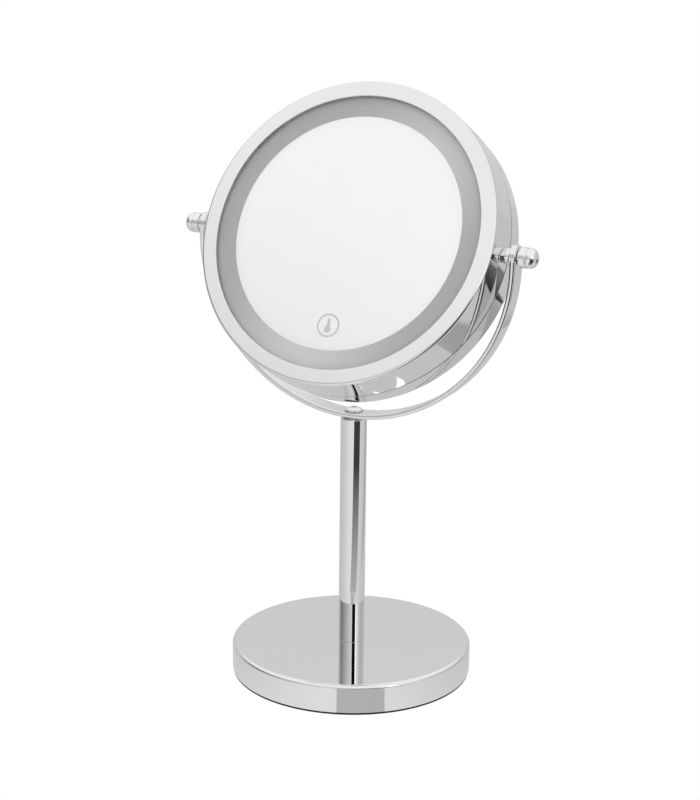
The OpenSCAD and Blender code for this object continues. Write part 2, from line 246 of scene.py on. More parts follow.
def material(name, **constants):
    """A Principled material, its tree and its shader; constants are set on the shader's sockets."""
    made = bpy.data.materials.new(name)
    made.use_nodes = True
    shader = made.node_tree.nodes["Principled BSDF"]
    for key, value in constants.items():
        shader.inputs[key.replace("_", " ")].default_value = value
    return made, made.node_tree, shader


def wire_up(tree, shader, color, roughness, normal=None):
    """Joins the patterns to the shader."""
    tree.links.new(color, shader.inputs["Base Color"])
    tree.links.new(roughness, shader.inputs["Roughness"])
    if normal is not None:
        tree.links.new(normal, shader.inputs["Normal"])


# ---- materials ----
def chrome():
    """Bright chrome plate: nearly flawless, with a slow cloud in tone and the faintest orange peel."""
    made, tree, shader = material("chrome", Metallic=1.0)
    cloud = noise(tree, 30, 2)
    fine = noise(tree, 1.2, 4)
    color = blend(tree, cloud, (0.795, 0.80, 0.81), (0.825, 0.828, 0.832))
    wire_up(tree, shader, color, spread(tree, fine, 0.012, 0.05), bump(tree, cloud, 0.004))
    return made


def inner_metal():
    """The sleeve's chrome made dull and dark inside the drum: painted shade, so that the seam shows as a dark
    line.
    """
    made, tree, shader = material("inner_metal", Metallic=1.0)
    patch = noise(tree, 7, 4)
    color = blend(tree, patch, (0.10, 0.10, 0.105), (0.19, 0.19, 0.195))
    wire_up(tree, shader, color, spread(tree, patch, 0.4, 0.6), bump(tree, noise(tree, 0.8, 3), 0.02))
    return made


def knob_chrome():
    """Chrome on the cast knobs: a softer shine, with small casting waves under the plate."""
    made, tree, shader = material("knob_chrome", Metallic=1.0)
    wave = noise(tree, 2.5, 2)
    color = blend(tree, noise(tree, 6, 2), (0.83, 0.83, 0.835), (0.90, 0.90, 0.90))
    wire_up(tree, shader, color, spread(tree, noise(tree, 1, 4), 0.10, 0.22), bump(tree, wave, 0.03))
    return made


def silvering():
    """The coat behind the pane: a clean, cold mirror, a touch duller towards its edge."""
    made, tree, shader = material("silvering", Metallic=1.0)
    radius = add(tree, "VectorMath", {"operation": "LENGTH"}, i0=head_position(tree)).outputs["Value"]
    edge = spread(tree, radius, 0, 1, (MIRROR_R - 3) * MM, MIRROR_R * MM, smooth=True)
    color = blend(tree, edge, (0.915, 0.918, 0.915), (0.89, 0.893, 0.89))
    wire_up(tree, shader, color, spread(tree, noise(tree, 4, 3), 0.0, 0.012))
    return made


def rear_glass():
    """The magnifying mirror: silvered glass with a clear front."""
    made, tree, shader = material("rear_glass", Metallic=1.0, Coat_Weight=0.3, Coat_Roughness=0.0)
    color = blend(tree, noise(tree, 40, 2), (0.90, 0.91, 0.915), (0.925, 0.93, 0.93))
    wire_up(tree, shader, color, spread(tree, noise(tree, 5, 3), 0.0, 0.014))
    return made


def pane():
    """Clear float glass, with a trace of green; soft light falls straight through it."""
    made, tree, shader = material("pane", Transmission_Weight=1.0, IOR=1.5)
    color = blend(tree, noise(tree, 25, 2), (0.985, 0.995, 0.99), (0.995, 1.0, 1.0))
    wire_up(tree, shader, color, spread(tree, noise(tree, 3, 3), 0.0, 0.006))
    rays = add(tree, "LightPath").outputs
    straight = math_node(tree, "MAXIMUM", rays["Is Shadow Ray"], rays["Is Diffuse Ray"])
    through = add(tree, "BsdfTransparent").outputs[0]
    mix = add(tree, "MixShader", i0=straight, i1=shader.outputs[0], i2=through)
    tree.links.new(mix.outputs[0], tree.nodes["Material Output"].inputs["Surface"])
    return made


PAINTED_SHEENS = ((48, 0.60), (262, 0.72))      # painted sheen: heading round the ring and strength of each painted bright stretch


def frost():
    """The sandblasted light ring and symbol: grey, with a painted sheen, a highlight painted into its colour
    that brightens it twice round the ring.
    """
    made, tree, shader = material("frost", Metallic=0.0, Specular_IOR_Level=0.3)
    parts = add(tree, "SeparateXYZ", Vector=head_position(tree)).outputs
    angle = math_node(tree, "ARCTAN2", parts[1], parts[0])
    level = spread(tree, noise(tree, 0.5, 3), 0.09, 0.17)
    # each stretch adds painted highlight to the colour, fixed round the ring
    for middle, strength in PAINTED_SHEENS:
        painted_sheen = math_node(tree, "POWER", math_node(tree, "MAXIMUM", toward(tree, angle, middle), 0.0), 5.0)
        level = math_node(tree, "MULTIPLY_ADD", painted_sheen, strength, level)
    color = blend(tree, level, (0.41, 0.41, 0.402), (0.755, 0.755, 0.745))
    grain = bump(tree, noise(tree, 0.3, 4), 0.01)
    wire_up(tree, shader, color, spread(tree, noise(tree, 1, 3), 0.5, 0.65), grain)
    return made


def rubber():
    """Matt black rubber, slightly rough."""
    made, tree, shader = material("rubber", Specular_IOR_Level=0.3)
    grain = noise(tree, 0.8, 5)
    color = blend(tree, grain, (0.006, 0.006, 0.007), (0.02, 0.02, 0.021))
    wire_up(tree, shader, color, spread(tree, grain, 0.7, 0.9), bump(tree, grain, 0.05))
    return made


def moulded(name, dark, light):
    """Moulded plastic with a fine spark-eroded grain."""
    made, tree, shader = material(name)
    grain = noise(tree, 0.35, 3)
    color = blend(tree, noise(tree, 18, 3), dark, light)
    wire_up(tree, shader, color, spread(tree, grain, 0.42, 0.6), bump(tree, grain, 0.02))
    return made


def zinc_steel():
    """Bright zinc plate, with the mottled spangle of small crystals."""
    made, tree, shader = material("zinc_steel", Metallic=1.0)
    color = blend(tree, cells(tree, 1.4), (0.50, 0.51, 0.53), (0.68, 0.69, 0.70))
    grain = bump(tree, noise(tree, 0.4, 3), 0.008)
    wire_up(tree, shader, color, spread(tree, noise(tree, 0.6, 4), 0.25, 0.42), grain)
    return made


def cast_iron():
    """A painted sand casting."""
    made, tree, shader = material("cast_iron", Metallic=0.3)
    grain = noise(tree, 1.6, 6)
    color = blend(tree, grain, (0.03, 0.03, 0.032), (0.085, 0.085, 0.09))
    wire_up(tree, shader, color, spread(tree, grain, 0.55, 0.8), bump(tree, grain, 0.35))
    return made


def brass():
    """Turned brass, with fine tool rings along the tilt axis."""
    made, tree, shader = material("brass", Metallic=1.0)
    wave = add(tree, "TexWave", {"bands_direction": "X"}, Vector=position(tree), Scale=900.0, Distortion=0.4)
    rings = wave.outputs[1]
    color = blend(tree, noise(tree, 2, 3), (0.62, 0.44, 0.17), (0.78, 0.59, 0.29))
    wire_up(tree, shader, color, spread(tree, rings, 0.2, 0.38), bump(tree, rings, 0.01))
    return made


def diffuser():
    """Opal acrylic."""
    made, tree, shader = material("diffuser", Transmission_Weight=0.25, IOR=1.49)
    color = blend(tree, noise(tree, 6, 3), (0.84, 0.84, 0.82), (0.9, 0.9, 0.89))
    wire_up(tree, shader, color, spread(tree, noise(tree, 1, 3), 0.25, 0.35))
    return made


def foam():
    """Closed cell foam."""
    made, tree, shader = material("foam", Specular_IOR_Level=0.2)
    cell = cells(tree, 0.7)
    color = blend(tree, cell, (0.035, 0.035, 0.037), (0.012, 0.012, 0.013))
    wire_up(tree, shader, color, spread(tree, cell, 0.8, 0.95), bump(tree, cell, 0.2))
    return made


def solder_mask(name, dark, light):
    """A board's lacquer, with the copper tracks showing as a faint relief."""
    made, tree, shader = material(name, Coat_Weight=0.4, Coat_Roughness=0.1)
    track = cells(tree, 4, "DISTANCE_TO_EDGE")
    raised = spread(tree, track, 0.0, 1.0, 0.04, 0.07)
    color = blend(tree, raised, dark, light)
    wire_up(tree, shader, color, spread(tree, noise(tree, 0.5, 3), 0.3, 0.45), bump(tree, raised, 0.035))
    return made


def phosphor():
    """The yellow gel of an unlit light emitting diode."""
    made, tree, shader = material("phosphor", Coat_Weight=0.5)
    grain = noise(tree, 0.3, 3)
    color = blend(tree, grain, (0.82, 0.62, 0.10), (0.93, 0.80, 0.28))
    wire_up(tree, shader, color, spread(tree, grain, 0.25, 0.4), bump(tree, grain, 0.02))
    return made


def cell_jacket():
    """The printed sleeve of a dry cell: plain blue, with a pale band at one end of each."""
    made, tree, shader = material("cell_jacket", Coat_Weight=0.6, Coat_Roughness=0.1)
    across = add(tree, "SeparateXYZ", Vector=position(tree)).outputs[0]
    band = spread(tree, math_node(tree, "ABSOLUTE", across), 0, 1, 18.2 * MM, 18.6 * MM)
    color = blend(tree, band, (0.02, 0.07, 0.2), (0.55, 0.57, 0.6))
    wire_up(tree, shader, color, spread(tree, noise(tree, 2, 3), 0.2, 0.32))
    return made


def insulation(name, dark, light):
    """Soft vinyl on a wire."""
    made, tree, shader = material(name)
    grain = noise(tree, 0.8, 3)
    color = blend(tree, grain, dark, light)
    wire_up(tree, shader, color, spread(tree, grain, 0.3, 0.45), bump(tree, grain, 0.01))
    return made


# ---- shape helpers, in millimetres ----
SHARP = math.radians(40)    # a bend sharper than this is shaded as an edge


def oval(cx, cy, half_width, half_height, start, end, steps):
    """Points of an oval arc between two angles in degrees."""
    angles = [math.radians(start + (end - start) * i / steps) for i in range(steps + 1)]
    return [(cx + half_width * math.cos(a), cy + half_height * math.sin(a)) for a in angles]


def arc(cx, cy, radius, start, end, steps):
    """Points of a round arc between two angles in degrees."""
    return oval(cx, cy, radius, radius, start, end, steps)


def circle(cx, cy, radius, steps):
    """Points all the way round."""
    return arc(cx, cy, radius, 0, 360 * (steps - 1) / steps, steps - 1)


def loft(bm, loops, closed=False, place=UPRIGHT):
    """A closed skin through loops of points, all as long as the first."""
    rows = [[bm.verts.new(place @ Vector(p)) for p in loop] for loop in loops]
    count = len(rows[0])
    pairs = list(zip(rows, rows[1:] + rows[:1])) if closed else list(zip(rows, rows[1:]))
    for a, b in pairs:
        for i in range(count):
            j = (i + 1) % count
            bm.faces.new((a[i], a[j], b[j], b[i]))
    if not closed:
        bm.faces.new(rows[0][::-1])
        bm.faces.new(rows[-1])


def lathe(bm, profile, place=UPRIGHT, start=0.0, end=360.0, steps=STEPS):
    """Turns a closed outline of (radius, height) points round the local z axis."""
    full = end - start >= 360
    angles = [math.radians(start + (end - start) * i / steps) for i in range(steps if full else steps + 1)]
    loops = [[(r * math.cos(a), r * math.sin(a), z) for r, z in profile] for a in angles]
    loft(bm, loops, full, place)


def prism(bm, outline, low, high):
    """An upright block with the given outline."""
    loft(bm, [[(x, y, z) for x, y in outline] for z in (low, high)])


def turned(angle):
    """A turn by some degrees round the local z axis."""
    return Matrix.Rotation(math.radians(angle), 4, "Z")


def rod(radius, low, high):
    """Outline of a plain rod round the axis."""
    return [(0, low), (radius, low), (radius, high), (0, high)]


def tube(inner, outer, low, high):
    """Outline of a plain tube round the axis."""
    return [(inner, low), (outer, low), (outer, high), (inner, high)]


def round_box(r0, r1, z0, z1, edge, steps=4):
    """Outline of a ring's cross-section with four rounded corners."""
    corners = [(r1 - edge, z1 - edge), (r0 + edge, z1 - edge), (r0 + edge, z0 + edge), (r1 - edge, z0 + edge)]
    quarters = [arc(r, z, edge, 90 * i, 90 * i + 90, steps) for i, (r, z) in enumerate(corners)]
    return sum(quarters, [])


def finish_mesh(bm, name):
    """Turns a drawing in millimetres into an object in metres with smooth faces and marked sharp edges."""
    bmesh.ops.remove_doubles(bm, verts=bm.verts, dist=1e-4)
    bmesh.ops.delete(bm, geom=[e for e in bm.edges if not e.link_faces], context="EDGES")
    bmesh.ops.recalc_face_normals(bm, faces=bm.faces)
    bmesh.ops.scale(bm, vec=(MM, MM, MM), verts=bm.verts)
    for edge in bm.edges:
        edge.smooth = edge.calc_face_angle(0.0) < SHARP
    for face in bm.faces:
        face.smooth = True
    mesh = bpy.data.meshes.new(name)
    bm.to_mesh(mesh)
    bm.free()
    obj = bpy.data.objects.new(name, mesh)
    bpy.context.scene.collection.objects.link(obj)
    return obj


def cut(obj, draw):
    """Cuts what draw(bm) makes out of obj."""
    bm = bmesh.new()
    draw(bm)
    cutter = finish_mesh(bm, obj.name + "_cutter")
    change = obj.modifiers.new("cut", "BOOLEAN")
    change.operation = "DIFFERENCE"
    change.solver = "EXACT"
    change.use_self = True
    change.object = cutter
    graph = bpy.context.evaluated_depsgraph_get()
    old = obj.data
    obj.data = bpy.data.meshes.new_from_object(obj.evaluated_get(graph))
    obj.modifiers.clear()
    bpy.data.meshes.remove(old)
    bpy.data.objects.remove(cutter)
    bm = bmesh.new()
    bm.from_mesh(obj.data)
    bmesh.ops.dissolve_degenerate(bm, dist=1e-4 * MM, edges=bm.edges)
    bm.to_mesh(obj.data)
    bm.free()


def piece(name, draw, surface, body, slot, *nodes, cutter=None):
    """A finished piece: drawn, cut, shaded, riding on its body in place of its CAD nodes."""
    bm = bmesh.new()
    draw(bm)
    obj = finish_mesh(bm, name)
    if cutter is not None:
        cut(obj, cutter)
    settle(obj, surface, body, slot, *nodes)
    even = obj.modifiers.new("even_normals", "WEIGHTED_NORMAL")
    even.keep_sharp = True
    even.weight = 100


def settle(obj, surface, body, slot, *nodes):
    """Shades a piece and puts it on its body in place of its CAD nodes."""
    obj.data.materials.clear()
    obj.data.materials.append(surface)
    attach(obj, body)
    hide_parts(*nodes)


def flat_layer(name, outlines, low, high):
    """A flat layer across the head between two heights; nested outlines are filled by turns."""
    curve = bpy.data.curves.new(name, "CURVE")
    curve.dimensions = "2D"
    curve.fill_mode = "BOTH"
    curve.extrude = (high - low) / 2 * MM
    for outline in outlines:
        spline = curve.splines.new("POLY")
        spline.points.add(len(outline) - 1)
        spline.use_cyclic_u = True
        for point, (x, y) in zip(spline.points, outline):
            point.co = (x * MM, y * MM, 0, 1)
    drawn = bpy.data.objects.new(name + "_outline", curve)
    bpy.context.scene.collection.objects.link(drawn)
    graph = bpy.context.evaluated_depsgraph_get()
    mesh = bpy.data.meshes.new_from_object(drawn.evaluated_get(graph))
    bpy.data.objects.remove(drawn)
    metres = Matrix.Translation(HEAD.translation * MM) @ HEAD.to_3x3().to_4x4()
    mesh.transform(metres @ Matrix.Translation((0, 0, (low + high) / 2 * MM)))
    obj = bpy.data.objects.new(name, mesh)
    bpy.context.scene.collection.objects.link(obj)
    bm = bmesh.new()
    bm.from_mesh(mesh)
    bmesh.ops.remove_doubles(bm, verts=bm.verts, dist=1e-7)
    bmesh.ops.recalc_face_normals(bm, faces=bm.faces)
    bm.to_mesh(mesh)
    bm.free()
    return obj


# ---- stand ----
def draw_foot(bm):
    """The black disc that the base stands on."""
    r, k, top = BASE_R - FOOT_INSET, FOOT_EDGE, FOOT_TOP - CREASE
    lathe(bm, [(0, 0), (r - k, 0)] + arc(r - k, k, k, -90, 0, 4)[1:] + [(r, top), (0, top)])


def draw_base_cover(bm):
    """The pressed cover of the base, open below."""
    inner = BASE_R - BASE_WALL
    k, edge = BASE_ROUND, 0.3
    lathe(bm, [(0, BASE_TOP - BASE_WALL), (0, BASE_TOP)]
          + arc(BASE_R - k, BASE_TOP - k, k, 90, 0, 14)
          + arc(BASE_R - edge, FOOT_TOP + edge, edge, 0, -90, 3)
          + [(inner, FOOT_TOP), (inner, BASE_TOP - k)]
          + arc(BASE_R - k, BASE_TOP - k, k - BASE_WALL, 0, 90, 6)[1:], steps=288)


def draw_column(bm):
    """The column's tube, broken at its lower edge and rounded at its upper one."""
    inner = COLUMN_R - COLUMN_WALL
    low, high = BASE_TOP + CREASE, COLUMN_TOP
    broken, rounded = 0.15, 0.35
    lathe(bm, [(inner, low), (COLUMN_R - broken, low), (COLUMN_R, low + broken)]
          + arc(COLUMN_R - rounded, high - rounded, rounded, 0, 90, 5) + [(inner, high)], steps=128)


def draw_yoke(bm):
    """The half ring, with a short straight arm up to the tilt axis on each side."""
    half, steps = YOKE_W / 2, 160
    section = round_box(YOKE_IN, YOKE_OUT, -half, half, YOKE_EDGE, 8)
    middle = PIVOT_Z - YOKE_DROP
    angles = [math.radians(180 + 180 * i / steps) for i in range(steps + 1)]
    loops = [[(r * math.cos(a), y, middle + r * math.sin(a)) for r, y in section] for a in angles]
    left, right = [[(side * r, y, PIVOT_Z) for r, y in section] for side in SIDES]
    loft(bm, [left] + loops + [right])


def cut_yoke(bm):
    """Holes for the two studs and the yoke's screw."""
    inside, outside = 80, 110       # well past both faces of the eyes
    for place in PIVOTS:
        lathe(bm, rod(STUD_HOLE, inside, outside), place, steps=48)
    lathe(bm, rod(SCREW_HOLE, COLUMN_TOP - 1, YOKE_LOW + 6), steps=48)


def draw_eyes(bm):
    """The round eye at each end of the yoke, and the seat pad under it."""
    for place in PIVOTS:
        lathe(bm, round_box(STUD_HOLE, EYE_R, EYE_IN, YOKE_OUT + CREASE, 0.45), place, steps=128)
    lathe(bm, tube(SCREW_HOLE, PAD_R, COLUMN_TOP, YOKE_LOW + PAD_T), steps=96)


def draw_yoke_washer(bm):
    """The washer under the domed screw."""
    lathe(bm, round_box(SCREW_HOLE, 5.3, WASHER_SEAT, WASHER_TOP - CREASE, 0.12), steps=96)


def draw_screw(bm):
    """Domed screw down through the yoke into the column."""
    shank, head, height, edge, length = 2.5, 4.9, 1.9, 0.1, 12
    tip = COLUMN_TOP - length
    dome = oval(0, WASHER_TOP + edge, head, height - edge, 6, 90, 14)
    lathe(bm, [(0, tip), (shank, tip), (shank, WASHER_TOP), (head - edge, WASHER_TOP)] + dome, steps=96)


def cut_socket(bm):
    """Hexagon socket in the screw's dome."""
    prism(bm, circle(0, 0, 1.45, 6), WASHER_TOP + 0.9, WASHER_TOP + 4)


def draw_friction_washers(bm):
    """The black washers between eyes and knobs."""
    for place in PIVOTS:
        lathe(bm, round_box(2.3, 3.6, YOKE_OUT + 2 * CREASE, YOKE_OUT + 0.7, 0.15), place, steps=96)


# ---- head ----
def draw_front_housing(bm):
    """Front half of the drum, with the bezel's lip round the window."""
    k, e, seam = DRUM_ROUND, SOFT_EDGE, SEAM_EDGE
    lathe(bm, [(WALL_R, FACE - LIP_T), (WINDOW_R, FACE - LIP_T)]
          + arc(WINDOW_R + e, FACE - e, e, 180, 90, 5)
          + arc(DRUM_R - FRONT_DRAFT - k, FACE - k, k, 90, 0, 14)
          + arc(DRUM_R - seam, SEAM + seam, seam, 0, -90, 4)
          + [(WALL_R, SEAM)], HEAD, steps=FINE_STEPS)


def cut_slots(bm):
    """Bayonet slots that take the rear cover's lugs."""
    low, high = LUG_MIDDLE - SLOT_HALF, LUG_MIDDLE + SLOT_HALF
    half, over = 5, 5.01            # degrees; a hair more, so that the two cuts don't share a face
    for a in LUG_ANGLES:
        entry = a - TWIST
        for start, first, last in ((SEAM - 1, entry - half, entry + half), (low, entry - over, a + half)):
            lathe(bm, tube(WALL_R - 2, WALL_R + 1.3, start, high), HEAD, first, last, 16)


def draw_housing_bosses(bm):
    """Screw bosses and pivot bosses inside the front housing."""
    screw_boss = tube(0.9, 2.6, 7.4, FACE - LIP_T + 0.2)
    pivot_boss = tube(3.2, 5.5, 74, WALL_R + 0.6)
    for i in range(6):
        place = HEAD @ turned(30 + 60 * i) @ Matrix.Translation((FRONT_BOSS_CIRCLE, 0, 0))
        lathe(bm, screw_boss, place, steps=32)
    for place in PIVOTS:
        lathe(bm, pivot_boss, place, steps=64)


def draw_pane(bm):
    """The glass pane, with its edges broken."""
    back, front, r, edge = GLASS_BACK, GLASS_FRONT - CREASE, GLASS_R - 0.1, 0.2
    rim = [(r - edge, back), (r, back + edge), (r, front - edge), (r - edge, front)]
    lathe(bm, [(0, back)] + rim + [(0, front)], HEAD, steps=FINE_STEPS)


def symbol():
    """The bulb in the touch symbol: a round head below a narrow stem."""
    x, y = ICON_AT
    half, bulb = 0.95, 2.0
    open_half = math.degrees(math.asin(half / bulb))
    return arc(x, y - 2.1, bulb, 90 + open_half, 450 - open_half, 36) + arc(x, y + 3.2, half, 0, 180, 12)


def draw_spacers(bm):
    """A waisted chrome bead on each side, between drum and eye."""
    bore, foot, neck, middle = 2.4, 3.7, 3.6, 90.15
    low, high = DRUM_R - 0.1, EYE_IN - 0.3
    bead = oval(3.2, middle, 1.3, 2.6, -60, 60, 20)
    for place in PIVOTS:
        lathe(bm, [(bore, low), (foot, low)] + bead + [(neck, high), (bore, high)], place, steps=128)


# ---- rear cover ----
def draw_rear_cover(bm):
    """Rear half of the drum, with the rim round the magnifying mirror."""
    k, e, seam = DRUM_ROUND, SOFT_EDGE, SEAM_EDGE
    lathe(bm, [(SLEEVE_IN, SHOULDER), (SLEEVE_IN, COVER_FRONT)]
          + arc(DRUM_R - seam, COVER_FRONT - seam, seam, 90, 0, 4)
          + arc(DRUM_R - REAR_DRAFT - k, REAR + k, k, 0, -90, 14)
          + arc(WINDOW_R + e, REAR + e, e, 270, 180, 5)
          + [(WINDOW_R, REAR_LEDGE), (WALL_R, REAR_LEDGE), (WALL_R, SHOULDER)], HEAD, steps=FINE_STEPS)


def draw_sleeve(bm):
    """The sleeve arcs that slide into the front housing, their lugs, and the backing plate's bosses."""
    low, high, edge = COVER_FRONT - 1, LUG_MIDDLE + 1, 0.3
    for start, end in SLEEVE_ARCS:
        lathe(bm, [(SLEEVE_IN, low), (SLEEVE_OUT, low), (SLEEVE_OUT, high - edge), (SLEEVE_OUT - edge, high),
                   (SLEEVE_IN, high)], HEAD, start, end, 60)
    for a in LUG_ANGLES:
        lathe(bm, tube(WALL_R - 1, WALL_R + 1, LUG_MIDDLE - LUG_HALF, LUG_MIDDLE + LUG_HALF),
              HEAD, a - 4, a + 4, 8)
    foot, top, hole, hole_end = REAR_LEDGE - 0.2, SHOULDER - 1.6, 0.9, SHOULDER - 7.7
    boss = [(0, foot), (2.4, foot), (2.4, top), (hole, top), (hole, hole_end), (0, hole_end)]
    for i in range(4):
        place = HEAD @ turned(45 + 90 * i) @ Matrix.Translation((REAR_BOSS_CIRCLE, 0, 0))
        lathe(bm, boss, place, steps=32)


def draw_rear_mirror(bm):
    """The dished mirror; both its faces have the same curve."""
    steps = 24
    rim = math.sqrt(CONCAVE_R ** 2 - GLASS_R ** 2)
    face = [(r, REAR_LEDGE + CREASE + math.sqrt(CONCAVE_R ** 2 - r * r) - rim)
            for r in (GLASS_R * i / steps for i in range(steps + 1))]
    back = [(r, z + REAR_MIRROR_T) for r, z in reversed(face)]
    lathe(bm, face + back, HEAD, steps=FINE_STEPS)


def draw_index_pin(bm):
    """The small round pip beside the seam."""
    middle = HEAD @ turned(PIN_ANGLE) @ Matrix.Translation((0, 0, PIN_F))
    crown = 0.35
    foot, neck = DRUM_R - 1.5, PIN_TIP - crown
    lathe(bm, [(0, foot), (PIN_R, foot), (PIN_R, neck)] + oval(0, neck, PIN_R, crown, 15, 90, 5),
          middle @ Matrix.Rotation(math.pi / 2, 4, "Y"), steps=48)


# ---- knobs ----
def draw_knob(place):
    """A necked knob with a domed end, hollowed at its foot for the pivot washer.

    Its heights are counted along the tilt axis from the middle of the drum.
    """
    recess, neck, grip, groove, dome = 3.7, 4.1, 5.7, 5.15, 5.6
    edge = 0.3
    start, lip = YOKE_OUT + 1, YOKE_OUT + 0.3
    foot = [(STUD_R, start), (recess, start), (recess, lip), (neck - 0.1, lip), (neck, lip + 0.1),
            (neck, 97.9)]
    rim = arc(grip - edge, 98.2, edge, -90, 0, 4) + arc(grip - edge, 101.1, edge, 0, 90, 4)
    waist = [(groove, 101.4), (groove, 101.9), (dome - 0.1, 102.1), (dome, 102.3)]
    cap = oval(0, 103.2, dome, 4.3, 0, 90, 18)

    def draw(bm):
        lathe(bm, foot + rim + waist + cap + [(0, 103), (STUD_R, 103)], place, steps=128)
    return draw


# ---- the pieces ----
def build_stand(mat):
    """Foot, base, column and yoke."""
    piece("foot_disc", draw_foot, mat["rubber"], "stand", "rubber", "foot_pad")
    piece("polished_base", draw_base_cover, mat["chrome"], "stand", "chrome", "base_cover")
    piece("polished_column", draw_column, mat["chrome"], "stand", "chrome", "column_tube")
    piece("yoke_band", draw_yoke, mat["chrome"], "stand", "chrome", "yoke", cutter=cut_yoke)
    piece("yoke_eyes", draw_eyes, mat["chrome"], "stand", "chrome", "yoke")
    piece("yoke_screw_domed", draw_screw, mat["chrome"], "stand", "chrome", "yoke_screw", cutter=cut_socket)
    piece("yoke_washer_round", draw_yoke_washer, mat["zinc_steel"], "stand", "zinc_steel", "yoke_washer")
    piece("pivot_washers", draw_friction_washers, mat["black_plastic"], "stand", "black_plastic",
          "friction_washers")


def build_head(mat):
    """The half of the drum with the lit face."""
    piece("drum_front", draw_front_housing, mat["chrome"], "head", "chrome", "front_housing",
          cutter=cut_slots)
    piece("drum_front_bosses", draw_housing_bosses, mat["chrome"], "head", "chrome", "front_housing")
    piece("clear_pane", draw_pane, mat["pane"], "head", "pane", "front_glass")
    piece("pivot_beads", draw_spacers, mat["chrome"], "head", "chrome", "pivot_spacers")
    x, y = ICON_AT
    touch = [circle(x, y, ICON_R, ICON_STEPS), circle(x, y, ICON_R - ICON_LINE, ICON_STEPS), symbol()]
    top = GLASS_BACK - CREASE
    silver = flat_layer("silver_coat", [circle(0, 0, MIRROR_R, STEPS)] + touch, COAT_BACK, top)
    settle(silver, mat["silvering"], "head", "silvering", "mirror_silvering")
    band = [circle(0, 0, GLASS_R, STEPS), circle(0, 0, MIRROR_R, STEPS)]
    frosted = flat_layer("frosted_light_ring", band + touch, COAT_BACK, top)
    settle(frosted, mat["frost"], "head", "frost", "frosted_band")


def build_rear_cover(mat):
    """The half of the drum with the magnifying mirror."""
    piece("drum_rear", draw_rear_cover, mat["chrome"], "rear_cover", "chrome", "rear_cover")
    # the sleeve wears painted shade: a darkened copy of the chrome, so the seam reads dark
    piece("drum_rear_sleeve", draw_sleeve, mat["inner_metal"], "rear_cover", "chrome", "rear_cover")
    piece("magnifying_mirror", draw_rear_mirror, mat["rear_glass"], "rear_cover", "rear_glass", "rear_mirror")
    piece("index_pip", draw_index_pin, mat["chrome"], "rear_cover", "chrome", "index_pin")


def build_knobs(mat):
    """One knob on each side."""
    for name, place in zip(("left", "right"), PIVOTS):
        piece(f"{name}_knob_turned", draw_knob(place), mat["knob_chrome"], f"{name}_knob", "chrome",
              f"knob_{name}")


def dress_frame(mat):
    """Materials for the CAD nodes that stay."""
    kept = {
        "zinc_steel": ["base_bottom_plate", "base_bolt", "base_bolt_washer", "column_bottom_insert",
                       "column_top_insert", "chassis_screws", "touch_spring", "battery_springs",
                       "battery_contacts", "backing_screws", "stud_left", "stud_right"],
        "cast_iron": ["base_weight"],
        "white_plastic": ["chassis", "rear_backing_plate"],
        "black_plastic": ["battery_holder"],
        "component_black": ["touch_chip", "led_resistors"],
        "brass": ["pivot_inserts", "touch_electrode"],
        "diffuser": ["diffuser_ring"],
        "foam": ["foam_pad"],
        "board_white": ["led_board"],
        "board_green": ["touch_board"],
        "led_yellow": ["leds"],
        "cell_jacket": ["batteries"],
        "insulation_red": ["wire_red"],
        "insulation_black": ["wire_black"],
    }
    for slot, nodes in kept.items():
        for node in nodes:
            data = frame["nodes"][node].data
            data.materials.clear()
            data.materials.append(mat[slot])


def make_materials():
    """Every material, by name."""
    return {
        "chrome": chrome(),
        "knob_chrome": knob_chrome(),
        "inner_metal": inner_metal(),
        "silvering": silvering(),
        "rear_glass": rear_glass(),
        "pane": pane(),
        "frost": frost(),
        "rubber": rubber(),
        "zinc_steel": zinc_steel(),
        "cast_iron": cast_iron(),
        "brass": brass(),
        "diffuser": diffuser(),
        "foam": foam(),
        "black_plastic": moulded("black_plastic", (0.012, 0.012, 0.013), (0.022, 0.022, 0.024)),
        "white_plastic": moulded("white_plastic", (0.74, 0.74, 0.72), (0.8, 0.8, 0.79)),
        "component_black": moulded("component_black", (0.01, 0.01, 0.01), (0.02, 0.02, 0.02)),
        "board_white": solder_mask("board_white", (0.72, 0.72, 0.7), (0.82, 0.82, 0.8)),
        "board_green": solder_mask("board_green", (0.01, 0.10, 0.04), (0.02, 0.17, 0.07)),
        "led_yellow": phosphor(),
        "cell_jacket": cell_jacket(),
        "insulation_red": insulation("insulation_red", (0.42, 0.012, 0.01), (0.5, 0.02, 0.015)),
        "insulation_black": insulation("insulation_black", (0.01, 0.01, 0.01), (0.02, 0.02, 0.02)),
    }


# ---- studio ----
# Floor and background are plain white where the camera looks straight at them. What follows shows only in
# reflections and in the light that falls on the object.
# Headings are degrees from the front (-Y) towards the right (+X), taken round the column's foot or round
# another spot, which is given as metres right of it and metres in front of it.
WHITE = (1, 1, 1, 1)
WALL_LIGHT = 0.58
BRIGHT_WALL = (75, 0.40)    # heading of the brightest wall, and how much brighter it is
BACK_LIGHT = (206, 0.125)   # heading of the light behind, and its strength
SOFTBOX = (53, 71)          # soft light over the opening
SOFTBOX_LIGHT = 1.4
SKIRTING = (12, 60)         # low dark strip at the foot of the wall in front
SKIRTING_LIGHT = 0.03

